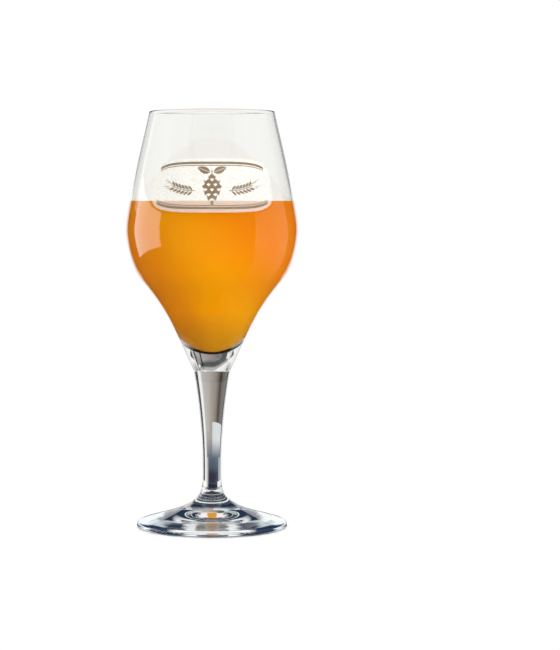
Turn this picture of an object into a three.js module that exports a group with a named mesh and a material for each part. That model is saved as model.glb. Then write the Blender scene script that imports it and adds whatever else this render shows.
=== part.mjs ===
// Stemmed beer glass, filled with beer: a tulip bowl, a drawn stem and a spread foot, welded into one
// drinking glass, with a fired enamel label on the front of the bowl. Millimetres, +Z up, the foot stands
// on z = 0 and the label faces -Y.
import * as THREE from "three";

// Foot
const footRadius = 37.7;
const footEdge = 3.2; // thickness of the foot at its edge
const footEdgeRound = 2.0; // upper round of the edge
const footBaseRound = 0.8; // lower round of the edge
const footHeight = 18.2; // height of the weld to the stem
const footRise = 0.32; // slope of the foot's top where it leaves the edge
const footRiseReach = 12.4; // how far that slope carries inwards
const footFlareReach = 8.7; // how far the flare carries down from the weld
const standingRing = 4.5; // width of the flat ring that the glass stands on
const kickDepth = 5; // hollow under the middle of the foot
const kickReach = 18; // how far the hollow stays deep, from the axis

// Stem
const stemLength = 60.8;
const stemFootRadius = 5.6; // radius at the weld to the foot
const stemFlare = 0.38; // slope of the stem where it spreads into the foot
const stemFlareReach = 3.5;
const waistRadius = 4.65;
const waistRise = 13.8; // height of the waist above the weld to the foot
const waistReachUp = 16;
const waistReachDown = 1.6;
const stemTopSlope = 0.18;
const stemTopReach = 14.3;

// Bowl, outside: heights are above the weld to the stem
const neckRadius = 9.4; // radius at the weld to the stem
const neckSlope = 0.48;
const neckReach = 20;
const flankRadius = 34.3;
const flankRise = 44;
const flankSlope = 0.84;
const flankReachDown = 16.5;
const flankReachUp = 8.6;
const bellyRadius = 42.9;
const bellyRise = 70.5;
const bellyReachDown = 4.2;
const bellyReachUp = 9.5;
const rimRadius = 31.2;
const rimSlope = 0.22;
const rimReach = 15.5;
const bowlHeight = 129;

// Bowl, inside
const rimWall = 1.3;
const bellyWall = 1.5;
const flankWall = 2.4;
const baseThickness = 10.2; // solid glass between the inside bottom and the weld
const bottomReach = 11.5; // how far the inside bottom stays level, from the axis
const bottomReachUp = 18; // how far the flank's slope carries down towards it

// Beer
const beerDrop = 44.5; // level of the beer below the rim
const fillClearance = 0.3;

// Enamel label: u runs round the bowl, v runs up it, both from the label's centre
const labelDrop = 37; // label's centre below the rim
const labelHalfLength = 32;
const labelHalfHeight = 13;
const labelSquareness = 4; // 2 is an ellipse, larger is squarer
const labelEnd = 0.985; // share of the half length where the rounded end is cut straight
const enamelThickness = 0.2;
const enamelClearance = 0.1;
const borderInset = 1.6;
const borderWidth = 1.7;
const borderHalfLength = 28;
const coneHalfWidth = 4.8;
const coneHalfHeight = 7.2;
const coneDrop = 1.4; // cone's middle below the label's centre
const coneScales = 5;
const coneNotch = 0.18; // depth of the notches between scales, as a share of the width
const coneTip = 0.5;
const coneFullness = 1.3; // over 1 puts the widest scales above the middle
const leafLength = 7;
const leafHalfWidth = 1.6;
const leafTip = 0.25;
const leafLean = 0.35; // angle above level, in radians
const leafOut = 0.9; // where a leaf starts, out from the cone's axis
const leafGap = 0.2; // between the cone's head and a leaf
const earGap = 3.4; // between the cone's side and an ear
const earLength = 17;
const earHalfWidth = 2.6;
const earGrains = 7;
const earNotch = 0.4;
const earTip = 0.3;
const earDrop = 2.6; // an ear's base below the label's centre
const earRise = 5; // an ear's tip above its base

// Fineness of the turned and printed surfaces
const turnSegments = 48;
const curveSegments = 8;
const roundSegments = 4;
const labelColumns = 26;
const labelRows = 6;

const weldToFoot = footHeight;
const weldToStem = weldToFoot + stemLength;
const rimHeight = weldToStem + bowlHeight;
const lipRadius = rimWall / 2;
const beerLevel = rimHeight - beerDrop;

const glass = new THREE.MeshStandardMaterial({
  color: 0xe8eeee, roughness: 0.04, metalness: 0, transparent: true, opacity: 0.35,
});
const amber = new THREE.MeshStandardMaterial({ color: 0xee9208, roughness: 0.08, metalness: 0 });
const whiteEnamel = new THREE.MeshStandardMaterial({ color: 0xf6f2e8, roughness: 0.35, metalness: 0 });
const brownEnamel = new THREE.MeshStandardMaterial({ color: 0x7b6750, roughness: 0.4, metalness: 0 });

const point = (radius, height) => new THREE.Vector2(radius, height);
const curve = (...handles) => new THREE.CubicBezierCurve(...handles);

function arc(centreRadius, centreHeight, radius, from, to) {
  const clockwise = to < from;
  return new THREE.EllipseCurve(centreRadius, centreHeight, radius, radius, from, to, clockwise);
}

function outline(...pieces) {
  const points = [];
  for (const piece of pieces) {
    const steps = piece instanceof THREE.EllipseCurve ? roundSegments : curveSegments;
    const run = piece instanceof THREE.Vector2 ? [piece] : piece.getPoints(steps);
    for (const next of run) {
      const last = points.at(-1);
      if (!last || last.distanceTo(next) > 1e-6) points.push(next);
    }
  }
  return points;
}

// Turns an outline, given from its lowest axis point round to its highest, about the glass's axis.
function turned(name, points, material) {
  const geometry = new THREE.LatheGeometry(points, turnSegments);
  geometry.rotateX(Math.PI / 2);
  const mesh = new THREE.Mesh(geometry, material);
  mesh.name = name;
  return mesh;
}

// The bowl's outside, from the weld up to the start of the lip
const neck = point(neckRadius, weldToStem);
const flank = point(flankRadius, weldToStem + flankRise);
const belly = point(bellyRadius, weldToStem + bellyRise);
const lip = point(rimRadius, rimHeight - lipRadius);
const neckToFlank = curve(
  neck,
  point(neckRadius + neckSlope * neckReach, neck.y + neckReach),
  point(flankRadius - flankSlope * flankReachDown, flank.y - flankReachDown),
  flank,
);
const flankToBelly = curve(
  flank,
  point(flankRadius + flankSlope * flankReachUp, flank.y + flankReachUp),
  point(bellyRadius, belly.y - bellyReachDown),
  belly,
);
const bellyToRim = curve(
  belly,
  point(bellyRadius, belly.y + bellyReachUp),
  point(rimRadius + rimSlope * rimReach, lip.y - rimReach),
  lip,
);

// The bowl's inside, from the lip down to the axis, moved inwards by a clearance where one is given
function inside(clearance) {
  const squareToFlank = Math.hypot(1, flankSlope);
  const flankDepth = (flankWall + clearance) / squareToFlank;
  const innerFlank = point(flankRadius - flankDepth, flank.y + flankDepth * flankSlope);
  const innerBelly = point(bellyRadius - bellyWall - clearance, belly.y);
  const innerLip = point(rimRadius - rimWall - clearance, lip.y);
  const bottom = point(0, weldToStem + baseThickness + clearance);
  return [
    curve(
      innerLip,
      point(innerLip.x + rimSlope * rimReach, lip.y - rimReach),
      point(innerBelly.x, belly.y + bellyReachUp),
      innerBelly,
    ),
    curve(
      innerBelly,
      point(innerBelly.x, belly.y - bellyReachDown),
      point(innerFlank.x + flankSlope * flankReachUp, innerFlank.y + flankReachUp),
      innerFlank,
    ),
    curve(
      innerFlank,
      point(innerFlank.x - flankSlope * bottomReachUp, innerFlank.y - bottomReachUp),
      point(bottomReach, bottom.y),
      bottom,
    ),
  ];
}

function bowl() {
  const lipRound = arc(rimRadius - lipRadius, lip.y, lipRadius, 0, Math.PI);
  const points = outline(
    point(0, weldToStem), neckToFlank, flankToBelly, bellyToRim, lipRound, ...inside(0),
  );
  return turned("bowl", points, glass);
}

function stem() {
  const waist = point(waistRadius, weldToFoot + waistRise);
  const spread = curve(
    point(stemFootRadius, weldToFoot),
    point(stemFootRadius - stemFlare * stemFlareReach, weldToFoot + stemFlareReach),
    point(waistRadius, waist.y - waistReachDown),
    waist,
  );
  const taper = curve(
    waist,
    point(waistRadius, waist.y + waistReachUp),
    point(neckRadius - stemTopSlope * stemTopReach, weldToStem - stemTopReach),
    neck,
  );
  return turned("stem", outline(point(0, weldToFoot), spread, taper, point(0, weldToStem)), glass);
}

function foot() {
  const standingRadius = footRadius - footBaseRound;
  const kickRadius = standingRadius - standingRing;
  const hollow = new THREE.QuadraticBezierCurve(
    point(0, kickDepth), point(kickReach, kickDepth), point(kickRadius, 0),
  );
  const baseRound = arc(standingRadius, footBaseRound, footBaseRound, -Math.PI / 2, 0);
  const topTangent = Math.PI / 2 - Math.atan(footRise);
  const topRound = arc(footRadius - footEdgeRound, footEdge - footEdgeRound, footEdgeRound, 0, topTangent);
  const shoulder = topRound.getPoint(1);
  const flare = curve(
    shoulder,
    point(shoulder.x - footRiseReach, shoulder.y + footRise * footRiseReach),
    point(stemFootRadius + stemFlare * footFlareReach, weldToFoot - footFlareReach),
    point(stemFootRadius, weldToFoot),
  );
  const points = outline(hollow, baseRound, topRound, flare, point(0, weldToFoot));
  return turned("foot", points, glass);
}

// The beer fills the inside up to its level.
function beer() {
  const wall = outline(...inside(fillClearance)).reverse();
  const above = wall.findIndex((next) => next.y > beerLevel);
  const share = (beerLevel - wall[above - 1].y) / (wall[above].y - wall[above - 1].y);
  const edge = wall[above - 1].clone().lerp(wall[above], share);
  return turned("beer", [...wall.slice(0, above), edge, point(0, beerLevel)], amber);
}

// Radius of the bowl's outside at a height
function bowlRadius(height) {
  const piece = [neckToFlank, flankToBelly, bellyToRim].find((next) => next.v3.y >= height) ?? bellyToRim;
  let low = 0;
  let high = 1;
  for (let step = 0; step < 40; step += 1) {
    const middle = (low + high) / 2;
    if (piece.getPoint(middle).y < height) low = middle;
    else high = middle;
  }
  return piece.getPoint(low).x;
}

const labelHeight = rimHeight - labelDrop;
const labelRadius = bowlRadius(labelHeight);

// A thin patch of enamel on the bowl. place takes s and t, each from -1 to 1, to u and v on the label.
// The white lies on the glass as layer 0, and the brown on the white as layer 1.
function enamel(name, columns, rows, layer, material, place) {
  const geometry = new THREE.BoxGeometry(2, 2, 1, columns, rows, 1);
  const position = geometry.attributes.position;
  const underside = enamelClearance + layer * (enamelThickness + enamelClearance);
  for (let i = 0; i < position.count; i += 1) {
    const [u, v] = place(position.getX(i), position.getY(i));
    const height = labelHeight + v;
    const lift = underside + (position.getZ(i) + 0.5) * enamelThickness;
    const radius = bowlRadius(height) + lift;
    const turn = u / labelRadius;
    position.setXYZ(i, radius * Math.sin(turn), -radius * Math.cos(turn), height);
  }
  const mesh = new THREE.Mesh(geometry, material);
  mesh.name = name;
  return mesh;
}

// Half height of the label at a distance round from its centre
function labelEdge(u) {
  const share = Math.abs(u / labelHalfLength);
  return labelHalfHeight * (1 - share ** labelSquareness) ** (1 / labelSquareness);
}

function label() {
  return enamel("label_ground", labelColumns, labelRows, 0, whiteEnamel, (s, t) => {
    const u = s * labelEnd * labelHalfLength;
    return [u, t * labelEdge(u)];
  });
}

function border(name, side) {
  return enamel(name, labelColumns, 1, 1, brownEnamel, (s, t) => {
    const u = s * borderHalfLength;
    const middle = side * (labelEdge(u) - borderInset - borderWidth / 2);
    return [u, middle + t * borderWidth / 2];
  });
}

// A saw edge that leans towards the tip: 1 at each scale's point, less between them
const sawEdge = (step, notch) => (step % 2 === 0 ? 1 - notch : 1);

function hopCone() {
  const rows = coneScales * 2;
  return enamel("hop_cone", 2, rows, 1, brownEnamel, (s, t) => {
    const step = Math.round((t + 1) / 2 * rows);
    const round = Math.sin(Math.PI * ((t + 1) / 2) ** coneFullness);
    const half = coneTip + (coneHalfWidth - coneTip) * round * sawEdge(step, coneNotch);
    return [s * half, t * coneHalfHeight - coneDrop];
  });
}

function hopLeaf(name, side) {
  const columns = 8;
  const rootHeight = coneHalfHeight - coneDrop + leafGap;
  return enamel(name, columns, 2, 1, brownEnamel, (s, t) => {
    const along = (s + 1) / 2 * leafLength;
    const half = leafTip + (leafHalfWidth - leafTip) * Math.sin(Math.PI * (s + 1) / 2);
    const across = t * half;
    const out = leafOut + along * Math.cos(leafLean) - side * across * Math.sin(leafLean);
    const up = along * Math.sin(leafLean) + side * across * Math.cos(leafLean);
    return [side * out, rootHeight + up];
  });
}

function barleyEar(name, side) {
  const columns = earGrains * 2;
  return enamel(name, columns, 2, 1, brownEnamel, (s, t) => {
    const step = Math.round((s + 1) / 2 * columns);
    const outwards = (s * side + 1) / 2; // 0 at the cone's end, 1 at the tip
    const taper = Math.sqrt(1 - outwards ** 4);
    const half = earTip + (earHalfWidth - earTip) * taper * sawEdge(step, earNotch);
    const from = coneHalfWidth + earGap;
    const u = side * (from + earLength / 2) + s * earLength / 2;
    const lift = earRise * outwards ** 2;
    return [u, t * half + lift - earDrop];
  });
}

const beerGlass = new THREE.Group();
beerGlass.add(foot(), stem(), bowl(), beer());
beerGlass.add(label(), border("border_top", 1), border("border_bottom", -1));
beerGlass.add(hopCone(), hopLeaf("hop_leaf_left", -1), hopLeaf("hop_leaf_right", 1));
beerGlass.add(barleyEar("barley_ear_left", -1), barleyEar("barley_ear_right", 1));

export default beerGlass;
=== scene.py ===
import math

import bmesh
import bpy
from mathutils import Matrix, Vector
from mathutils.geometry import interpolate_bezier


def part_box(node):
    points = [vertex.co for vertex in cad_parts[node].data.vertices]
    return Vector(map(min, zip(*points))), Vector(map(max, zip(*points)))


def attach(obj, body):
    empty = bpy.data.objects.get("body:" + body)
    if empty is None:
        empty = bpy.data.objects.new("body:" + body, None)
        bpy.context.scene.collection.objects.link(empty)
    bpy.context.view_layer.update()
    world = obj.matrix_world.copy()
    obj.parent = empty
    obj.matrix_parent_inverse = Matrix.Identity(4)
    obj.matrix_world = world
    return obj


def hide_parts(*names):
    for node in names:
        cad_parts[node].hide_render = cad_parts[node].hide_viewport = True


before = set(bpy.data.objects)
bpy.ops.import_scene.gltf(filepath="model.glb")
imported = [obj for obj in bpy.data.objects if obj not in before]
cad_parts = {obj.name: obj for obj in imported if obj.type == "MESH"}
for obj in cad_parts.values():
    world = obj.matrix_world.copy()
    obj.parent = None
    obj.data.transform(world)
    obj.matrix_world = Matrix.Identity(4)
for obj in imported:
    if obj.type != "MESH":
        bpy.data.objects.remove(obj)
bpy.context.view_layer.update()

# Foot
# A disc of soda-lime glass, pressed hot and spun flat, with a fire-polished round edge. It stands on a flat
# ring, and the hollow inside that ring keeps the middle off the table. The stem is welded to its top.
mm = 0.001
foot_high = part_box("foot")[1]
foot_radius = foot_high[0]
weld_to_foot = foot_high[2]
foot_edge = 3.2 * mm
foot_edge_round = 2.0 * mm
foot_base_round = 0.8 * mm
foot_rise = 0.32
foot_rise_reach = 12.4 * mm
foot_flare_reach = 8.7 * mm
standing_radius = foot_radius - foot_base_round
standing_ring = 4.5 * mm
hollow_radius = standing_radius - standing_ring
kick_depth = 5 * mm
kick_reach = 18 * mm
stem_foot_radius = 5.6 * mm
stem_flare = 0.38
turn_steps = 160
same_point = 0.002 * mm
same_level = 0.001 * mm
crisp_angle = math.radians(35)


def sweep(start, leave, arrive, end, steps):
    """Points of a smooth curve from start to end, pulled towards the handles leave and arrive."""
    handles = [Vector((radius, height)) for radius, height in (start, leave, arrive, end)]
    return [tuple(point) for point in interpolate_bezier(*handles, steps)]


def bend(centre, radius, first, last, steps):
    """Points of an arc about a centre, from the first angle to the last."""
    angles = [first + (last - first) * k / steps for k in range(steps + 1)]
    return [(centre[0] + radius * math.cos(a), centre[1] + radius * math.sin(a)) for a in angles]


def smooth_faces(bm):
    """Shades a mesh smooth, and keeps an edge crisp where its faces meet at an angle."""
    for face in bm.faces:
        face.smooth = True
    for edge in bm.edges:
        edge.smooth = edge.calc_face_angle(0) < crisp_angle


def place_mesh(name, bm):
    """A new object in the scene that holds a mesh."""
    mesh = bpy.data.meshes.new(name)
    bm.to_mesh(mesh)
    bm.free()
    placed = bpy.data.objects.new(name, mesh)
    bpy.context.scene.collection.objects.link(placed)
    return placed


def turn(name, outline, welds=()):
    """Spins an outline of radius and height about the glass's axis. Faces level with a weld take slot 1."""
    bm = bmesh.new()
    points = [bm.verts.new((radius, 0, height)) for radius, height in outline]
    for low, high in zip(points, points[1:]):
        bm.edges.new((low, high))
    bmesh.ops.spin(bm, geom=bm.verts[:] + bm.edges[:], cent=(0, 0, 0), axis=(0, 0, 1), angle=math.tau,
                   steps=turn_steps, use_merge=True)
    bmesh.ops.remove_doubles(bm, verts=bm.verts, dist=same_point)
    bmesh.ops.recalc_face_normals(bm, faces=bm.faces)
    smooth_faces(bm)
    for face in bm.faces:
        heights = [vert.co.z for vert in face.verts]
        if any(max(abs(z - weld) for z in heights) < same_level for weld in welds):
            face.material_index = 1
    piece = place_mesh(name, bm)
    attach(piece, "root")
    return piece


def feed(tree, node, sockets):
    """Sets a node's sockets to numbers and colours, or links them to other nodes' outputs."""
    for socket, value in sockets.items():
        if isinstance(value, bpy.types.NodeSocket):
            tree.links.new(value, node.inputs[socket])
        else:
            node.inputs[socket].default_value = value


def add_node(tree, kind, sockets, **settings):
    """A new node with its settings, and its sockets set or linked."""
    node = tree.nodes.new(kind)
    for setting, value in settings.items():
        setattr(node, setting, value)
    feed(tree, node, sockets)
    return node


def object_place(tree):
    """Where a point of the surface lies, in metres from the middle of the foot's underside."""
    return tree.nodes.new("ShaderNodeTexCoord").outputs["Object"]


def light_path(tree, fact):
    """What is known of the ray that meets the surface."""
    return tree.nodes.new("ShaderNodeLightPath").outputs[fact]


def calculate(tree, operation, *values):
    """The result of a sum on numbers or other nodes' outputs."""
    return add_node(tree, "ShaderNodeMath", dict(enumerate(values)), operation=operation).outputs["Value"]


def map_range(tree, value, low, high, to_low=0, to_high=1, kind="LINEAR"):
    """A value taken from one range to another, and held at both ends."""
    sockets = {"Value": value, "From Min": low, "From Max": high, "To Min": to_low, "To Max": to_high}
    return add_node(tree, "ShaderNodeMapRange", sockets, interpolation_type=kind).outputs["Result"]


def shade_ramp(tree, share, stops):
    """A run of colours, from stops of share and colour. The first stop is at 0 and the last at 1."""
    ramp = add_node(tree, "ShaderNodeValToRGB", {"Fac": share})
    ends = ramp.color_ramp.elements
    for position, colour in stops[1:-1]:
        ends.new(position).color = (*colour, 1)
    ends[0].color = (*stops[0][1], 1)
    ends[-1].color = (*stops[-1][1], 1)
    return ramp.outputs["Color"]


def mix_shaders(tree, share, first, second):
    """The first shader where the share is 0, and the second where it is 1."""
    return add_node(tree, "ShaderNodeMixShader", {0: share, 1: first, 2: second}).outputs["Shader"]


def new_material(name):
    """A new material, its node tree and its Principled shader."""
    material = bpy.data.materials.new(name)
    material.use_nodes = True
    return material, material.node_tree, material.node_tree.nodes["Principled BSDF"]


def show_surface(tree, surface):
    """Makes a shader the one that the material shows."""
    feed(tree, tree.nodes["Material Output"], {"Surface": surface})


def glass_flow():
    """The slow waves and the faint wiping marks that hand-finished glass has."""
    tree = bpy.data.node_groups.new("glass_flow", "ShaderNodeTree")
    tree.interface.new_socket("Wave Scale", in_out="INPUT", socket_type="NodeSocketFloat")
    tree.interface.new_socket("Height", in_out="OUTPUT", socket_type="NodeSocketFloat")
    tree.interface.new_socket("Smear", in_out="OUTPUT", socket_type="NodeSocketFloat")
    wave_scale = tree.nodes.new("NodeGroupInput").outputs["Wave Scale"]
    place = object_place(tree)
    wave = add_node(tree, "ShaderNodeTexNoise", {"Vector": place, "Scale": wave_scale, "Detail": 0.5})
    wiped = add_node(tree, "ShaderNodeTexNoise", {"Vector": place, "Scale": 60, "Detail": 3})
    smear = map_range(tree, wiped.outputs["Fac"], low=0.45, high=0.8, to_low=0, to_high=0.03)
    add_node(tree, "NodeGroupOutput", {"Height": wave.outputs["Fac"], "Smear": smear})
    return tree


glass_flow_group = glass_flow()
glass_index = 1.51
glass_shadow = (0.97, 0.97, 0.97)


def painted_caught_glow(tree, shader, turns, shades, axes):
    """Light the glass has turned back many times, as a painted glow in shades by distance along some axes."""
    scaled = add_node(tree, "ShaderNodeVectorMath", {0: object_place(tree), 1: Vector(axes) / foot_radius},
                      operation="MULTIPLY")
    away = add_node(tree, "ShaderNodeVectorMath", {0: scaled.outputs["Vector"]}, operation="LENGTH")
    shade = shade_ramp(tree, away.outputs["Value"], shades)
    glow = add_node(tree, "ShaderNodeEmission", {"Color": shade})
    many = calculate(tree, "GREATER_THAN", light_path(tree, "Ray Depth"), turns)
    return mix_shaders(tree, many, shader, glow.outputs["Emission"])


def clear_glass(name, tint, wave_scale, wave_height, turns=0, shades=(), axes=(1, 1, 0)):
    """Polished glass that light passes through, with its shadow left open for lamps."""
    material, tree, shader = new_material(name)
    flow = add_node(tree, "ShaderNodeGroup", {"Wave Scale": wave_scale}, node_tree=glass_flow_group)
    waves = {"Height": flow.outputs["Height"], "Distance": wave_height, "Strength": 0.5}
    feed(tree, shader, {
        "Base Color": (*tint, 1),
        "IOR": glass_index,
        "Transmission Weight": 1,
        "Roughness": flow.outputs["Smear"],
        "Normal": add_node(tree, "ShaderNodeBump", waves).outputs["Normal"],
    })
    surface = shader.outputs["BSDF"]
    # With shades, light turned back inside the glass more than turns times shows as a painted glow.
    if shades:
        surface = painted_caught_glow(tree, surface, turns, shades, axes)
    open_shadow = add_node(tree, "ShaderNodeBsdfTransparent", {"Color": (*glass_shadow, 1)})
    in_shadow = light_path(tree, "Is Shadow Ray")
    show_surface(tree, mix_shaders(tree, in_shadow, surface, open_shadow.outputs["BSDF"]))
    return material


def weld_clear():
    """The inside of a weld, where the glass runs on and nothing shows."""
    material, tree, shader = new_material("weld_clear")
    tree.nodes.remove(shader)
    show_surface(tree, tree.nodes.new("ShaderNodeBsdfTransparent").outputs["BSDF"])
    return material


weld_material = weld_clear()
edge_centre = (foot_radius - foot_edge_round, foot_edge - foot_edge_round)
edge_end = math.pi / 2 - math.atan(foot_rise)
foot_top_round = bend(edge_centre, foot_edge_round, 0, edge_end, steps=14)
shoulder = foot_top_round[-1]
foot_outline = (
    sweep((0, kick_depth), (kick_reach * 2 / 3, kick_depth),
          (kick_reach + (hollow_radius - kick_reach) / 3, kick_depth * 2 / 3), (hollow_radius, 0), steps=40)
    + bend((standing_radius, foot_base_round), foot_base_round, -math.pi / 2, 0, steps=8)
    + foot_top_round
    + sweep(shoulder, (shoulder[0] - foot_rise_reach, shoulder[1] + foot_rise * foot_rise_reach),
            (stem_foot_radius + stem_flare * foot_flare_reach, weld_to_foot - foot_flare_reach),
            (stem_foot_radius, weld_to_foot), steps=70)
    + [(0, weld_to_foot)]
)
white = (1, 1, 1)
# Shades of the painted glow in the foot, out from its axis: white, dark blue, pale, and dark at its rim.
painted_glow_dark = (0.02, 0.04, 0.08)
painted_glow_pale = (0.9, 0.97, 1)
painted_glow_rim_dark = (0.03, 0.03, 0.04)
foot_painted_glow = (
    (0, white), (0.34, white), (0.42, painted_glow_dark), (0.68, painted_glow_dark), (0.76, painted_glow_pale), (0.92, painted_glow_pale),
    (0.97, painted_glow_rim_dark), (1, painted_glow_rim_dark),
)
foot = turn("glass_foot", foot_outline, welds=(weld_to_foot,))
foot.data.materials.append(clear_glass("foot_glass", tint=(0.95, 0.975, 0.985), wave_scale=90,
                                       wave_height=0.08 * mm, turns=4.5, shades=foot_painted_glow))
foot.data.materials.append(weld_material)
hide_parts("foot")

# Stem
# A gather of glass drawn down from the bowl's base to a narrow waist and welded to the foot, where it flares.
# It is solid, so it bends light like a rod lens.
stem_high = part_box("stem")[1]
weld_to_stem = stem_high[2]
neck_radius = stem_high[0]
stem_flare_reach = 3.5 * mm
waist_radius = 4.65 * mm
waist_height = weld_to_foot + 13.8 * mm
waist_reach_up = 16 * mm
waist_reach_down = 1.6 * mm
stem_top_slope = 0.18
stem_top_reach = 14.3 * mm
# Shades of the painted glow in the stem: amber near its middle, standing in for the beer seen through it, and
# white to the sides.
painted_beer_glow = (0.7, 0.33, 0.05)
stem_painted_glow = ((0, painted_beer_glow), (0.05, painted_beer_glow), (0.075, white), (1, white))
stem_outline = (
    [(0, weld_to_foot)]
    + sweep((stem_foot_radius, weld_to_foot),
            (stem_foot_radius - stem_flare * stem_flare_reach, weld_to_foot + stem_flare_reach),
            (waist_radius, waist_height - waist_reach_down), (waist_radius, waist_height), steps=30)
    + sweep((waist_radius, waist_height), (waist_radius, waist_height + waist_reach_up),
            (neck_radius - stem_top_slope * stem_top_reach, weld_to_stem - stem_top_reach),
            (neck_radius, weld_to_stem), steps=50)[1:]
    + [(0, weld_to_stem)]
)
stem = turn("glass_stem", stem_outline, welds=(weld_to_foot, weld_to_stem))
stem.data.materials.append(clear_glass("stem_glass", tint=(0.93, 0.93, 0.92), wave_scale=120,
                                       wave_height=0.05 * mm, turns=1.5, shades=stem_painted_glow, axes=(1, 0, 0)))
stem.data.materials.append(weld_material)
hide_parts("stem")

# Bowl
# A tulip bowl, machine blown in a mould and cut off at a fire-polished rim. The wall is thin at the rim and
# grows down to a solid base, which is welded to the stem.
bowl_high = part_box("bowl")[1]
rim_height = bowl_high[2]
belly_radius = bowl_high[0]
neck_slope = 0.48
neck_reach = 20 * mm
flank = (34.3 * mm, weld_to_stem + 44 * mm)
flank_slope = 0.84
flank_reach_down = 16.5 * mm
flank_reach_up = 8.6 * mm
belly_height = weld_to_stem + 70.5 * mm
belly_reach_down = 4.2 * mm
belly_reach_up = 9.5 * mm
rim_radius = 31.2 * mm
rim_slope = 0.22
rim_reach = 15.5 * mm
rim_wall = 1.3 * mm
belly_wall = 1.5 * mm
flank_wall = 2.4 * mm
inner_bottom = weld_to_stem + 10.2 * mm
bottom_reach = 11.5 * mm
bottom_reach_up = 18 * mm
lip_height = rim_height - rim_wall / 2


def bowl_outside():
    """The bowl's outside, from the weld up to the lip."""
    belly = (belly_radius, belly_height)
    return (
        sweep((neck_radius, weld_to_stem), (neck_radius + neck_slope * neck_reach, weld_to_stem + neck_reach),
              (flank[0] - flank_slope * flank_reach_down, flank[1] - flank_reach_down), flank, steps=40)
        + sweep(flank, (flank[0] + flank_slope * flank_reach_up, flank[1] + flank_reach_up),
                (belly_radius, belly_height - belly_reach_down), belly, steps=30)[1:]
        + sweep(belly, (belly_radius, belly_height + belly_reach_up),
                (rim_radius + rim_slope * rim_reach, lip_height - rim_reach),
                (rim_radius, lip_height), steps=40)[1:]
    )


def bowl_inside(inset):
    """The bowl's inside, from the lip down to the axis, moved inwards by an inset."""
    depth = (flank_wall + inset) / math.hypot(1, flank_slope)
    side = (flank[0] - depth, flank[1] + depth * flank_slope)
    belly = (belly_radius - belly_wall - inset, belly_height)
    lip = (rim_radius - rim_wall - inset, lip_height)
    bottom = inner_bottom + inset
    return (
        sweep(lip, (lip[0] + rim_slope * rim_reach, lip_height - rim_reach),
              (belly[0], belly_height + belly_reach_up), belly, steps=40)
        + sweep(belly, (belly[0], belly_height - belly_reach_down),
                (side[0] + flank_slope * flank_reach_up, side[1] + flank_reach_up), side, steps=30)[1:]
        + sweep(side, (side[0] - flank_slope * bottom_reach_up, side[1] - bottom_reach_up),
                (bottom_reach, bottom), (0, bottom), steps=50)[1:]
    )


lip_round = bend((rim_radius - rim_wall / 2, lip_height), rim_wall / 2, 0, math.pi, steps=12)
bowl_outline = [(0, weld_to_stem)] + bowl_outside() + lip_round[1:-1] + bowl_inside(0)
bowl = turn("glass_bowl", bowl_outline, welds=(weld_to_stem,))
bowl.data.materials.append(clear_glass("bowl_glass", tint=(0.975, 0.978, 0.96), wave_scale=35,
                                       wave_height=0.05 * mm))
bowl.data.materials.append(weld_material)
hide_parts("bowl")

# Beer
# A hazy amber ale, poured to just over the belly of the bowl. It wets the wall, so no air shows between them,
# and it climbs the wall a little at its edge.
beer_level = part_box("beer")[1][2]
beer_index = 1.34
wetting = 0.05 * mm
bottom_spot = 4 * mm
meniscus = 0.8 * mm
line_foot = inner_bottom + 2 * mm
line_head = line_foot + 3 * mm
# The mirror's colour along the beer's bottom, which draws a painted dark line.
painted_line_dark = (0.06, 0.04, 0.03)
glow_slant = 0.667
glow_height = 0.127
glow_reach = 40 * mm
painted_shade_off_glow = (0.94, 0.7, 0.8)
cloud_drift = 0.16
beer_shades = (
    (0, (0.46, 0.25, 0.01)), (0.27, (0.9, 0.36, 0.001)),
    (0.55, (0.92, 0.352, 0.001)), (1, (0.82, 0.305, 0.001)),
)


def beer_outline():
    """From the axis at the inside bottom, up the wall to the edge of the beer and back over its top."""
    wall = bowl_inside(-wetting)[::-1]
    below = [point for point in wall if point[1] < beer_level]
    above = wall[len(below)]
    share = (beer_level - below[-1][1]) / (above[1] - below[-1][1])
    edge_radius = below[-1][0] + share * (above[0] - below[-1][0])
    top_level = beer_level - meniscus / 2
    edge = sweep((edge_radius, beer_level), (edge_radius - meniscus / 2, top_level),
                 (edge_radius - meniscus, top_level), (edge_radius - 3 * meniscus, top_level), steps=8)
    return below + edge + [(0, top_level)]


def object_axis(tree, axis):
    """How far along one axis a point of the surface lies."""
    return add_node(tree, "ShaderNodeSeparateXYZ", {"Vector": object_place(tree)}).outputs[axis]


def mix_colours(tree, share, first, second, blend="MIX"):
    """The first colour where the share is 0, and the second, or their blend, where it is 1."""
    sockets = {"Factor": share, "A": first, "B": second}
    return add_node(tree, "ShaderNodeMix", sockets, data_type="RGBA", blend_type=blend).outputs["Result"]


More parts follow.
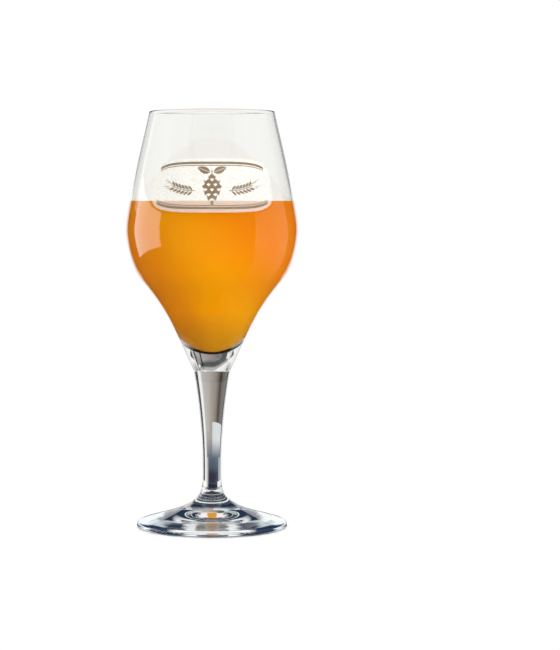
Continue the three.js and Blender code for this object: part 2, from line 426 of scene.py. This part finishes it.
def beer_haze_and_painted_glow():
    """Amber that is darker towards the bottom, with painted shade away from a slanting streak of painted
    glow.
    """
    tree = bpy.data.node_groups.new("beer_haze_and_painted_glow", "ShaderNodeTree")
    tree.interface.new_socket("Color", in_out="OUTPUT", socket_type="NodeSocketColor")
    place = object_place(tree)
    cloud = add_node(tree, "ShaderNodeTexNoise", {"Vector": place, "Scale": 28, "Detail": 2})
    drift = calculate(tree, "MULTIPLY_ADD", cloud.outputs["Fac"], cloud_drift, -cloud_drift / 2)
    height = map_range(tree, object_axis(tree, "Z"), inner_bottom, beer_level)
    shade = shade_ramp(tree, calculate(tree, "ADD", height, drift), beer_shades)
    # Painted glow and shade: the amber stays bright along a slanting streak and darkens away from it.
    slant = add_node(tree, "ShaderNodeVectorMath", {0: place, 1: (1, 0, glow_slant)}, operation="DOT_PRODUCT")
    aside = calculate(tree, "SUBTRACT", slant.outputs["Value"], glow_slant * glow_height)
    away = map_range(tree, calculate(tree, "ABSOLUTE", aside), 0, glow_reach, kind="SMOOTHSTEP")
    tint = mix_colours(tree, away, (*white, 1), (*painted_shade_off_glow, 1))
    add_node(tree, "NodeGroupOutput", {"Color": mix_colours(tree, 1, shade, tint, blend="MULTIPLY")})
    return tree


beer_haze_and_painted_glow_group = beer_haze_and_painted_glow()


def hazy_beer(name):
    """Beer that scatters light, as its material, node tree and Principled shader."""
    material, tree, shader = new_material(name)
    # The base colour carries a painted glow along a slanting streak and painted shade away from it.
    haze = add_node(tree, "ShaderNodeGroup", {}, node_tree=beer_haze_and_painted_glow_group)
    feed(tree, shader, {
        "Base Color": haze.outputs["Color"],
        "Roughness": 0.12,
        "IOR": beer_index,
        "Subsurface Weight": 0.6,
        "Subsurface Radius": (1, 0.35, 0.05),
        "Subsurface Scale": 12 * mm,
    })
    return material, tree, shader


def beer_at_glass(name, mirrors_inner_light):
    """Beer against the glass. It mirrors what meets it at a low angle, or what the glass has mirrored once.
    Along its bottom the mirror's colour is painted dark, so a painted dark line shows there."""
    material, tree, shader = hazy_beer(name)
    feed(tree, shader, {"Specular IOR Level": 0})
    clear_of_line = map_range(tree, object_axis(tree, "Z"), line_foot, line_head)
    mirrored = mix_colours(tree, clear_of_line, (*painted_line_dark, 1), (*white, 1))
    mirror = add_node(tree, "ShaderNodeBsdfGlossy", {"Color": mirrored, "Roughness": 0})
    share = add_node(tree, "ShaderNodeFresnel", {"IOR": beer_index / glass_index}).outputs["Fac"]
    if mirrors_inner_light:
        share = calculate(tree, "MAXIMUM", share, light_path(tree, "Is Reflection Ray"))
    show_surface(tree, mix_shaders(tree, share, shader.outputs["BSDF"], mirror.outputs["BSDF"]))
    return material


beer = turn("beer_fill", beer_outline())
beer.data.materials.append(hazy_beer("beer_top")[0])
beer.data.materials.append(beer_at_glass("beer_at_wall", True))
beer.data.materials.append(beer_at_glass("beer_at_bottom", False))
for face in beer.data.polygons:
    outwards = face.center.x * face.normal.x + face.center.y * face.normal.y
    at_bottom = face.normal.z < 0 and math.hypot(face.center.x, face.center.y) < bottom_spot
    at_wall = outwards > 0 or face.normal.z < 0
    face.material_index = 2 if at_bottom else 1 if at_wall else 0
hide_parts("beer")

# Enamel label
# A print in two ceramic colours, screened on the blown bowl and fired on: a see-through white ground, and on
# it brown lines, a hop cone with two leaves and two ears of barley. Each layer is 0.05 mm thick.
label_low, label_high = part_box("label_ground")
label_height = (label_low[2] + label_high[2]) / 2
label_half_height = (label_high[2] - label_low[2]) / 2
label_half_length = 32 * mm
label_squareness = 4
label_end = 0.985
layer_thickness = 0.05 * mm
layer_gap = 0.03 * mm
ground_grid = (64, 20)
bowl_wall = bowl_outside()


def bowl_radius(height):
    """Radius of the bowl's outside at a height."""
    low, high = next(pair for pair in zip(bowl_wall, bowl_wall[1:]) if pair[1][1] >= height)
    return low[0] + (high[0] - low[0]) * (height - low[1]) / (high[1] - low[1])


label_radius = bowl_radius(label_height)


def label_edge(u):
    """Half height of the label at a distance round from its middle."""
    share = abs(u / label_half_length)
    return label_half_height * (1 - share ** label_squareness) ** (1 / label_squareness)


def print_piece(name, layer, material, patches):
    """Lays patches of print on the bowl in place of the like-named node. A patch has a grid of columns and
    rows, and a function that takes s and t, each from -1 to 1, to distances round and up from the middle."""
    bm = bmesh.new()
    for (columns, rows), place in patches:
        grid = bmesh.ops.create_grid(bm, x_segments=columns, y_segments=rows, size=1)
        for vert in grid["verts"]:
            vert.co = (*place(vert.co.x, vert.co.y), 0)
    risen = bmesh.ops.extrude_face_region(bm, geom=bm.faces[:])["geom"]
    bmesh.ops.translate(bm, verts=[part for part in risen if isinstance(part, bmesh.types.BMVert)],
                        vec=(0, 0, layer_thickness))
    bmesh.ops.recalc_face_normals(bm, faces=bm.faces)
    for vert in bm.verts:
        u, v, lift = vert.co
        height = label_height + v
        radius = bowl_radius(height) + layer_gap + layer * (layer_thickness + layer_gap) + lift
        vert.co = (radius * math.sin(u / label_radius), -radius * math.cos(u / label_radius), height)
    smooth_faces(bm)
    piece = place_mesh("enamel_" + name, bm)
    piece.data.materials.append(material)
    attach(piece, "root")
    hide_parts(name)


def screened_enamel():
    """The fine speckle of a screened print, and its broad uneven tone."""
    tree = bpy.data.node_groups.new("screened_enamel", "ShaderNodeTree")
    tree.interface.new_socket("Speckle", in_out="OUTPUT", socket_type="NodeSocketFloat")
    tree.interface.new_socket("Tone", in_out="OUTPUT", socket_type="NodeSocketFloat")
    put = tree.nodes.new("NodeGroupOutput")
    for output, scale, detail in (("Speckle", 2600, 1), ("Tone", 160, 3)):
        grain = {"Vector": object_place(tree), "Scale": scale, "Detail": detail}
        noise = add_node(tree, "ShaderNodeTexNoise", grain)
        feed(tree, put, {output: map_range(tree, noise.outputs["Fac"], low=0.3, high=0.7)})
    return tree


screened_enamel_group = screened_enamel()


def enamel(name, thin_colour, full_colour, thin_cover, full_cover):
    """Fired enamel, which is thinner in places and uneven in colour and gloss."""
    material, tree, shader = new_material(name)
    screened = add_node(tree, "ShaderNodeGroup", {}, node_tree=screened_enamel_group)
    tone = screened.outputs["Tone"]
    feed(tree, shader, {
        "Base Color": mix_colours(tree, tone, (*thin_colour, 1), (*full_colour, 1)),
        "Alpha": map_range(tree, screened.outputs["Speckle"], 0, 1, to_low=thin_cover, to_high=full_cover),
        "Roughness": map_range(tree, tone, 0, 1, to_low=0.3, to_high=0.45),
    })
    return material


white_enamel = enamel("white_enamel", thin_colour=(0.73, 0.72, 0.66), full_colour=(0.77, 0.76, 0.7),
                      thin_cover=0.26, full_cover=0.34)
brown_enamel = enamel("brown_enamel", thin_colour=(0.23, 0.165, 0.1), full_colour=(0.18, 0.125, 0.075),
                      thin_cover=0.9, full_cover=1.0)


def ground_place(s, t):
    """A place on the white ground."""
    u = s * label_end * label_half_length
    return u, t * label_edge(u)


print_piece("label_ground", 0, white_enamel, [(ground_grid, ground_place)])

border_half_length = 28 * mm
border_inset = 1.6 * mm
border_lines = ((0, 1.1 * mm), (1.6 * mm, 0.35 * mm))
border_grid = (64, 1)


def border_place(side, drop, width):
    """A line along the label's edge, dropped from it towards the middle."""
    def place(s, t):
        u = s * border_half_length
        return u, side * (label_edge(u) - border_inset - drop - width * (1 - t) / 2)
    return place


for name, side in (("border_top", 1), ("border_bottom", -1)):
    print_piece(name, 1, brown_enamel,
                [(border_grid, border_place(side, drop, width)) for drop, width in border_lines])

cone_half_height = 7.2 * mm
cone_half_width = 4.8 * mm
cone_drop = 1.4 * mm
cone_rows = 6
cone_tip = 0.6
cone_top = 0.2
cone_fullness = 1.3
bract_width = 3.2 * mm
bract_point = 1.1 * mm
bract_gap = 0.45 * mm
bract_draw_in = 0.2
bract_grid = (40, 3)
row_height = 2 * cone_half_height / cone_rows
cone_stalk = (0.22 * mm, 2.4 * mm)
cone_stalk_grid = (1, 6)


def bract_row_place(row):
    """A row of the cone's scales, pointed below and drawn in at its ends."""
    foot_of_row = -cone_drop - cone_half_height + row * row_height
    half = cone_half_width * math.sin(math.pi * ((row + cone_tip) / (cone_rows + cone_top)) ** cone_fullness)

    def place(s, t):
        up = (t + 1) / 2
        u = s * half * (1 - bract_draw_in * (1 - up))
        point = bract_point * (1 - abs(math.sin(math.pi * (u / bract_width + row / 2))))
        return u, foot_of_row + (row_height - bract_gap) * up - point
    return place


def cone_stalk_place(s, t):
    """The stalk that the cone hangs from."""
    return s * cone_stalk[0], cone_half_height - cone_drop - row_height / 4 + cone_stalk[1] * (t + 1) / 2


print_piece("hop_cone", 1, brown_enamel,
            [(bract_grid, bract_row_place(row)) for row in range(cone_rows)]
            + [(cone_stalk_grid, cone_stalk_place)])

leaf_length = 7 * mm
leaf_half_width = 1.7 * mm
leaf_fullness = 0.8
leaf_lean = 0.35
leaf_out = 0.9 * mm
leaf_rise = cone_half_height - cone_drop + 0.5 * mm
leaf_vein = 0.12 * mm
leaf_teeth = 5
tooth_depth = 0.22
leaf_grid = (30, 3)


def leaf_place(side, edge):
    """One half of a toothed leaf, above or below its vein."""
    def place(s, t):
        along = (s + 1) / 2
        tooth = 1 - tooth_depth * (along * leaf_teeth % 1)
        half = leaf_half_width * math.sin(math.pi * along ** leaf_fullness) * tooth
        across = edge * (leaf_vein + (t + 1) / 2 * half)
        out = leaf_out + along * leaf_length * math.cos(leaf_lean) - across * math.sin(leaf_lean)
        up = leaf_rise + along * leaf_length * math.sin(leaf_lean) + across * math.cos(leaf_lean)
        return side * out, up
    return place


for name, side in (("hop_leaf_left", -1), ("hop_leaf_right", 1)):
    print_piece(name, 1, brown_enamel,
                [(leaf_grid, leaf_place(side, edge)) for edge in (-1, 1)])

ear_start = 8.2 * mm
ear_length = 17 * mm
ear_rise = 5 * mm
ear_drop = 2.6 * mm
ear_head = 0.74
ear_grains = 6
first_grain = 0.6
grain_reach = 0.86
grain_start = 0.25 * mm
grain_length = 3 * mm
grain_half_width = 0.5 * mm
grain_roundness = 2.2
grain_lean = 0.72
grain_grid = (10, 2)
awn_length = 4.2 * mm
awn_half_width = 0.1 * mm
awn_roundness = 3
awn_lean = 0.22
awn_grid = (10, 1)
stalk_half_width = 0.17 * mm
stalk_grid = (24, 1)


def ear_line(share):
    """A point on an ear's middle line and its slope there."""
    point = (ear_start + share * ear_length, ear_rise * share ** 2 - ear_drop)
    return point, 2 * ear_rise * share / ear_length


def stalk_place(side):
    """The stalk that carries the grains."""
    def place(s, t):
        out, up = ear_line((s + 1) / 2 * ear_head)[0]
        return side * out, up + t * stalk_half_width
    return place


def blade_place(side, share, edge, lean, start, length, half_width, roundness):
    """A grain or an awn, which leans out from the stalk to one edge."""
    (out, up), slope = ear_line(share)
    tilt = math.atan(slope) + edge * lean

    def place(s, t):
        along = start + (s + 1) / 2 * length
        across = t * half_width * max(0, 1 - abs(s) ** roundness)
        x = out + along * math.cos(tilt) - across * math.sin(tilt)
        y = up + edge * stalk_half_width + along * math.sin(tilt) + across * math.cos(tilt)
        return side * x, y
    return place


for name, side in (("barley_ear_left", -1), ("barley_ear_right", 1)):
    strokes = [(stalk_grid, stalk_place(side))]
    for k in range(ear_grains):
        share = ear_head * (k + first_grain) / ear_grains * grain_reach
        for edge in (-1, 1):
            strokes.append((grain_grid, blade_place(side, share, edge, grain_lean, grain_start, grain_length,
                                                    grain_half_width, grain_roundness)))
            strokes.append((awn_grid, blade_place(side, share, edge, awn_lean, grain_length, awn_length,
                                                  awn_half_width, awn_roundness)))
    print_piece(name, 1, brown_enamel, strokes)

# Floor
# A plain white table top under the glass, which runs out to the white backdrop. It gives its own white light,
# which thins out near the glass in a painted soft shadow, darkest under its standing ring and under the
# middle of the foot, where the table's lit paint shows instead.
floor_size = 8
floor_drop = 0.2 * mm
shadow_reach = 0.35
# The share of the table's own white light by distance from the glass's axis: a painted shadow under the foot.
painted_ring_shadow = 0.12
table_painted_shadow = (
    (0, 0.3), (11 * mm, 0.3), (18 * mm, 0.72), (26 * mm, 0.72), (hollow_radius, painted_ring_shadow),
    (foot_radius + 0.5 * mm, painted_ring_shadow), (foot_radius + 4 * mm, 0.8), (shadow_reach, 1),
)


def table_white():
    """White where it is seen, through glass and in reflections too, with a painted shadow in rings near its
    foot.
    """
    material, tree, paint = new_material("table_white")
    feed(tree, paint, {"Base Color": (0.9, 0.9, 0.9, 1), "Roughness": 0.7, "Specular IOR Level": 0})
    away = add_node(tree, "ShaderNodeVectorMath", {0: object_place(tree)}, operation="LENGTH")
    reach = map_range(tree, away.outputs["Value"], 0, shadow_reach)
    shade = shade_ramp(tree, reach, [(radius / shadow_reach, (grey,) * 3) for radius, grey in table_painted_shadow])
    seen = light_path(tree, "Is Camera Ray")
    for other in ("Is Glossy Ray", "Is Transmission Ray"):
        seen = calculate(tree, "MAXIMUM", seen, light_path(tree, other))
    share = calculate(tree, "MULTIPLY", seen, shade)
    backdrop = tree.nodes.new("ShaderNodeEmission").outputs["Emission"]
    show_surface(tree, mix_shaders(tree, share, paint.outputs["BSDF"], backdrop))
    return material


floor_bm = bmesh.new()
bmesh.ops.create_grid(floor_bm, x_segments=1, y_segments=1, size=floor_size)
bmesh.ops.translate(floor_bm, verts=floor_bm.verts, vec=(0, 0, -floor_drop))
floor = place_mesh("table_top", floor_bm)
floor.data.materials.append(table_white())

# Studio
# A white room with a window on the glass's left, a pale screen on its right and dark cloth between them,
# which keeps the beer's colour clear and draws the glass's edges. Other cards show through the stem, the foot
# and the base of the bowl.
world = bpy.data.worlds.new("white_room")
bpy.context.scene.world = world
world.use_nodes = True
room = world.node_tree
room_light = map_range(room, light_path(room, "Is Diffuse Ray"), 0, 1, to_low=1.0, to_high=0.9)
feed(room, room.nodes["Background"], {"Color": (*white, 1), "Strength": room_light})

# Light inside the glass is followed through many turns, though in the foot and the stem a painted glow takes
# over after a few.
bpy.context.scene.cycles.max_bounces = 32
bpy.context.scene.cycles.glossy_bounces = 24
bpy.context.scene.cycles.transmission_bounces = 24


def soft_lamp(name, place, aim_height, size, power):
    """A round soft lamp that lights the glass and the beer without a highlight of its own."""
    data = bpy.data.lights.new(name, "AREA")
    data.shape = "DISK"
    data.size = size
    data.energy = power
    lamp = bpy.data.objects.new(name, data)
    bpy.context.scene.collection.objects.link(lamp)
    lamp.location = place
    lamp.rotation_euler = (Vector((0, 0, aim_height)) - Vector(place)).to_track_quat("-Z", "Y").to_euler()
    lamp.visible_camera = False
    lamp.visible_glossy = False
    lamp.visible_transmission = False


soft_lamp("key_light", (0.45, -0.85, 0.75), belly_height, size=0.6, power=3.6)
soft_lamp("fill_light", (-0.65, -0.55, 0.15), flank[1], size=0.5, power=2.6)
soft_lamp("low_light", (0.4, -0.35, 0.03), flank[1], size=0.25, power=2.3)
soft_lamp("back_light", (-0.4, 0.8, 0.4), flank[1], size=0.6, power=3)


def card_light(name, strength=1):
    """A card's own light, as its material, node tree and light. It keeps no light off the beer."""
    material, tree, shader = new_material(name)
    tree.nodes.remove(shader)
    light = add_node(tree, "ShaderNodeEmission", {"Strength": strength})
    open_to_beer = tree.nodes.new("ShaderNodeBsdfTransparent").outputs["BSDF"]
    from_beer = light_path(tree, "Diffuse Depth")
    show_surface(tree, mix_shaders(tree, from_beer, light.outputs["Emission"], open_to_beer))
    return material, tree, light


def plain_card(name, colour, strength=1):
    """A card of one colour."""
    material, tree, light = card_light(name, strength)
    feed(tree, light, {"Color": (*colour, 1)})
    return material


def rising_card(name, low, high, foot_colour, head_colour):
    """A card that runs from one colour at its foot to another at its head."""
    material, tree, light = card_light(name)
    rise = map_range(tree, object_axis(tree, "Z"), low, high)
    feed(tree, light, {"Color": mix_colours(tree, rise, (*foot_colour, 1), (*head_colour, 1))})
    return material


def striped_card(name, stripes):
    """A card that changes round the glass, from 90 to 270 degrees right of its front, and again in front."""
    material, tree, light = card_light(name)
    around = add_node(tree, "ShaderNodeTexGradient", {"Vector": object_place(tree)}, gradient_type="RADIAL")
    half_turn = calculate(tree, "FRACT", calculate(tree, "MULTIPLY", around.outputs["Fac"], 2))
    stops = [((angle - 90) / 180, colour) for angle, colour in stripes]
    feed(tree, light, {"Color": shade_ramp(tree, half_turn, stops)})
    return material


band_drift = 9 * mm


def banded_card(name, bands):
    """A card that changes from the glass's middle out to both sides, with bands given in millimetres."""
    material, tree, light = card_light(name)
    aside = calculate(tree, "ABSOLUTE", object_axis(tree, "X"))
    cloud = add_node(tree, "ShaderNodeTexNoise", {"Vector": object_place(tree), "Scale": 110})
    drifted = calculate(tree, "MULTIPLY_ADD", cloud.outputs["Fac"], band_drift, aside)
    share = map_range(tree, drifted, band_drift / 2, foot_radius + band_drift / 2)
    stops = [(out * mm / foot_radius, colour) for out, colour in bands]
    feed(tree, light, {"Color": shade_ramp(tree, share, stops)})
    return material


def show_card(name, bm, paint, rays):
    """Puts a card in the set, for rays that glass has mirrored or for those that came through it."""
    card = place_mesh(name, bm)
    card.data.materials.append(paint)
    card.visible_camera = False
    card.visible_diffuse = False
    card.visible_shadow = False
    card.visible_glossy = rays == "mirrored"
    card.visible_transmission = rays == "through"


card_steps = 64


def stand_card(name, angles, foot_at, head_at, paint, rays, bow=(0, 0)):
    """A card about the glass, between two angles right of its front. Its foot and head each have a radius and
    a height, and bow lifts it on either side of straight behind or in front."""
    first, last = [math.radians(angle) for angle in angles]
    bm = bmesh.new()
    edge = [bm.verts.new((r * math.sin(first), -r * math.cos(first), z)) for r, z in (foot_at, head_at)]
    bm.edges.new(edge)
    bmesh.ops.spin(bm, geom=bm.verts[:] + bm.edges[:], cent=(0, 0, 0), axis=(0, 0, 1), angle=last - first,
                   steps=card_steps)
    for vert in bm.verts:
        aside = math.remainder(math.atan2(vert.co.x, -vert.co.y), math.pi)
        vert.co.z += bow[aside > 0] * aside ** 2
    show_card(name, bm, paint, rays)


table = -floor_drop / 2
slat_step = 0.5 * mm
slat_height = 0.08 * mm


def lay_slats(name, paint):
    """Low upright slats in the hollow under the foot, which show from low down and hardly from above."""
    bm = bmesh.new()
    slats = int(hollow_radius / slat_step)
    for k in range(-slats, slats + 1):
        back = k * slat_step
        aside = math.sqrt(hollow_radius ** 2 - back ** 2)
        bm.edges.new([bm.verts.new((x, back, table)) for x in (-aside, aside)])
    risen = bmesh.ops.extrude_edge_only(bm, edges=bm.edges[:])["geom"]
    bmesh.ops.translate(bm, verts=[part for part in risen if isinstance(part, bmesh.types.BMVert)],
                        vec=(0, 0, slat_height))
    show_card(name, bm, paint, "through")


# Cards that the glass mirrors
navy = (0.012, 0.016, 0.03)
set_radius = 0.45
window_side = (-122, -71)
window_foot = 0.01
window_head = 0.265
screen_side = (58, 115)
screen_radius = 0.09
room_head = 0.8
cloth_head = 1.6
left_cloth_head = 0.215
back_cloth_foot = 0.2
cloth = plain_card("dark_cloth", navy)
window = plain_card("window_light", (1, 0.97, 0.94), strength=3.2)
screen = rising_card("pale_screen", low=0.02, high=0.1, foot_colour=navy, head_colour=(0.62, 0.62, 0.62))
room_grey = plain_card("room_grey", (0.35, 0.35, 0.35))
for name, angles, foot_at, head_at, paint in (
    ("cloth_front", (window_side[1], screen_side[0]), (set_radius, table), (set_radius, cloth_head), cloth),
    ("window_left", window_side, (set_radius, window_foot), (set_radius, window_head), window),
    ("below_window", window_side, (set_radius, table), (set_radius, window_foot), cloth),
    ("screen_right", screen_side, (screen_radius, table), (set_radius, window_head), screen),
    ("above_window", window_side, (set_radius, window_head), (set_radius, room_head), room_grey),
    ("above_screen", screen_side, (set_radius, window_head), (set_radius, room_head), room_grey),
    ("cloth_left", (-150, window_side[0]), (set_radius, table), (set_radius, left_cloth_head), cloth),
    ("cloth_right", (screen_side[1], 150), (set_radius, table), (set_radius, room_head), cloth),
    ("cloth_behind", (130, 230), (set_radius, back_cloth_foot), (set_radius, room_head), cloth),
    ("cloth_on_table", (0, 360), (foot_radius, table), (set_radius, table), cloth),
):
    stand_card(name, angles, foot_at, head_at, paint, "mirrored")

# Cards that show through the stem and the foot
wall_radius = 0.07
wall_head = 0.097
wall_grey = (0.46, 0.43, 0.4)
wall_brown = (0.06, 0.045, 0.035)
low_wall = striped_card("low_wall", (
    (90, white), (124, white), (127, navy), (143, navy), (146, white), (154, white),
    (159, (0.56, 0.54, 0.52)), (175, wall_grey), (187, (0.31, 0.28, 0.25)), (193, (0.17, 0.145, 0.12)),
    (197, wall_brown), (200, wall_brown), (204, (0.15, 0.13, 0.11)), (219, (0.2, 0.18, 0.17)),
    (223, navy), (229, navy), (234, white), (270, white),
))
stand_card("low_wall", (0, 360), (wall_radius, table), (wall_radius, wall_head), low_wall, "through")

dark_blue = (0.012, 0.026, 0.06)
icy = (0.88, 0.97, 1)
block = (0.2, 0.2, 0.18)
under_foot = banded_card("under_foot", (
    (0, block), (6.5, block), (8.5, white), (12, white), (14.5, dark_blue), (21.5, dark_blue), (26, icy),
    (34, icy), (36, dark_blue), (37.7, dark_blue),
))
lay_slats("under_foot", under_foot)

near_radius = 0.045
near_head = 0.012
# A dark strip on the table behind the stem, seen only through the glass. It darkens bands in the foot's
# flare, and from above it shows as a painted shadow of the stem.
streak_side = (153, 207)
streak_radius = 2 * mm
streak = striped_card("streak", (
    (90, white), (streak_side[0], white), (162, navy), (198, navy), (streak_side[1], white), (270, white),
))
stand_card("streak", streak_side, (streak_radius, table), (near_radius, table), streak, "through")

front_radius = wall_radius - 1 * mm
gleam_foot = 0.028
gleam_head = 0.0525
low_head = 0.046
strips_side = (115, 165)
cloth_side = (165, 209)
edge_side = (209, 250)
table_blue = (0.115, 0.16, 0.215)
edge_grey = (0.5, 0.54, 0.57)
gleam = rising_card("gleam", low=gleam_foot, high=0.0405, foot_colour=table_blue,
                    head_colour=(0.76, 0.8, 0.83))
gleam_dark = rising_card("gleam_dark", low=0.0165, high=gleam_foot, foot_colour=dark_blue,
                         head_colour=table_blue)
wall_foot = rising_card("wall_foot", low=gleam_foot, high=0.0425, foot_colour=table_blue,
                        head_colour=wall_grey)
edge_strips = striped_card("edge_strips", (
    (90, white), (edge_side[0], table_blue), (213, edge_grey), (223, edge_grey), (225, navy), (230, navy),
    (232, white), (270, white),
))
pale = plain_card("pale_card", white)

# Cards that show through the bowl's solid base
high_radius = 0.7
stroke_radius = high_radius - 0.01
dusk_foot = 0.413
dim_foot = 0.4145
dim_head = 0.419
dusk_head = 0.4205
grey_head = 0.424
grey_foot = 0.3
dusk_side = (150, 213)
far_grey = (0.4, 0.39, 0.38)
far_dark = (0.13, 0.115, 0.105)
far_wall = striped_card("far_wall", (
    (90, white), (140, far_grey), (169, (0.36, 0.34, 0.33)), (180, (0.28, 0.26, 0.25)),
    (188, (0.21, 0.19, 0.18)), (194, far_dark), (200, far_dark), (209, (0.23, 0.22, 0.21)), (216, far_grey),
    (270, white),
))
grey = plain_card("grey_card", (0.5, 0.49, 0.48))
dusk = plain_card("dusk_card", (0.22, 0.22, 0.22))
dim = plain_card("dim_card", (0.1, 0.1, 0.1))
straight = (0, 0)
bent = (0.375, 0.33)

# Both kinds stand behind the glass, and again before it for the view from behind.
for side, turned in (("behind", 0), ("before", 180)):
    for name, (first, last), foot_at, head_at, paint, bow in (
        ("gleam", (181, 222), (front_radius, gleam_foot), (front_radius, gleam_head), gleam, straight),
        ("wall_foot", (160, 181), (front_radius, gleam_foot), (front_radius, low_head), wall_foot, straight),
        ("cloth_low", cloth_side, (front_radius, table), (front_radius, gleam_foot), gleam_dark, straight),
        ("edge_low", edge_side, (front_radius, table), (front_radius, gleam_foot), edge_strips, straight),
        ("strips_table", strips_side, (near_radius, table), (front_radius, table), low_wall, straight),
        ("cloth_table", cloth_side, (near_radius, table), (front_radius, table), cloth, straight),
        ("edge_table", edge_side, (near_radius, table), (front_radius, table), edge_strips, straight),
        ("near_right", (118, 158), (near_radius, table), (near_radius, near_head), pale, straight),
        ("near_left", (202, 242), (near_radius, table), (near_radius, near_head), pale, straight),
        ("edge", (150, 160), (set_radius, 0.17), (set_radius, grey_foot), grey, straight),
        ("grey_high", (140, 220), (high_radius, grey_foot), (high_radius, dusk_foot), far_wall, bent),
        ("dusk_high", dusk_side, (high_radius, dusk_foot), (high_radius, dim_foot), dusk, bent),
        ("dim_high", (154, 208), (high_radius, dim_foot), (high_radius, dim_head), dim, bent),
        ("dusk_higher", dusk_side, (high_radius, dim_head), (high_radius, dusk_head), dusk, bent),
        ("grey_higher", (146, 217), (high_radius, dusk_head), (high_radius, grey_head), grey, bent),
        ("stroke", (158.5, 162), (stroke_radius, 0.435), (stroke_radius, 0.458), cloth, straight),
        ("outer_stroke", (143, 147), (stroke_radius, 0.5), (stroke_radius, 0.6), cloth, straight),
    ):
        angles = (first + turned, last + turned)
        stand_card(name + "_" + side, angles, foot_at, head_at, paint, "through", bow)

# Camera
# It stands level with the top of the beer, a metre in front of the glass, and looks down a little at the
# glass's middle. Columns and rows are pixels of a frame 560 wide and 650 tall.
frame_height = 650
middle_column = 280
middle_row = 325
axis_column = 212
level_row = 201
focal_pixels = 2080
camera_distance = 1.04
look_down = math.atan((middle_row - level_row) / focal_pixels)
lens = bpy.data.cameras.new("camera")
lens.sensor_width = 36
lens.lens = focal_pixels / frame_height * lens.sensor_width
lens.shift_x = (middle_column - axis_column) / frame_height
camera = bpy.data.objects.new("camera", lens)
bpy.context.scene.collection.objects.link(camera)
camera.location = (0, -camera_distance, beer_level)
camera.rotation_euler = (math.pi / 2 - look_down, 0, 0)
bpy.context.scene.camera = camera

bpy.context.scene.view_settings.view_transform = "Standard"
